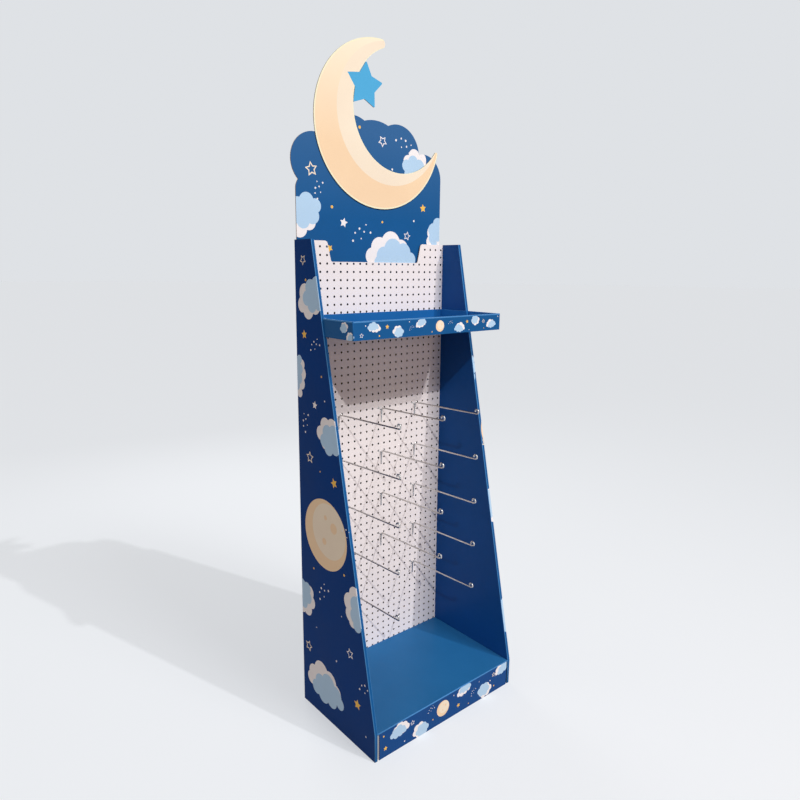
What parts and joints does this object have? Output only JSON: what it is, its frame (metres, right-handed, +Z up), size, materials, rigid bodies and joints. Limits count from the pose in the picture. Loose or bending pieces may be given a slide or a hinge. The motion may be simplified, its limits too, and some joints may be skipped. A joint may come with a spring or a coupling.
{
  "type": "cardboard display stand",
  "caption": "Freestanding cardboard display stand with a punched pegboard, wire hooks, slanted side walls, a shelf tray, a base and a shaped header with a crescent.",
  "frame": {"origin": "middle of the whole stand's bounding box, on the floor", "axes": "+Z up, -Y towards the shopper, +X to the shopper's right"},
  "size_m": [0.61, 0.388, 2.1125],
  "materials": {
    "printed_body": "printed matt",
    "printed_base": "printed matt",
    "printed_tray": "printed matt",
    "printed_header": "printed matt",
    "printed_topper": "printed matt",
    "white_board": "plain matt",
    "zinc_wire": "bright zinc plate"
  },
  "bodies": {
    "root": {"body_wrap": "printed_body", "pegboard": "white_board", "base_tray": "printed_base", "shelf_tray": "printed_tray", "header_card": "printed_header", "moon_topper": "printed_topper", "hook_left_1": "zinc_wire", "hook_left_2": "zinc_wire", "hook_left_3": "zinc_wire", "hook_left_4": "zinc_wire", "hook_left_5": "zinc_wire", "hook_centre_1": "zinc_wire", "hook_centre_2": "zinc_wire", "hook_centre_3": "zinc_wire", "hook_centre_4": "zinc_wire", "hook_right_1": "zinc_wire", "hook_right_2": "zinc_wire", "hook_right_3": "zinc_wire", "hook_right_4": "zinc_wire", "hook_right_5": "zinc_wire"}
  },
  "joints": []
}
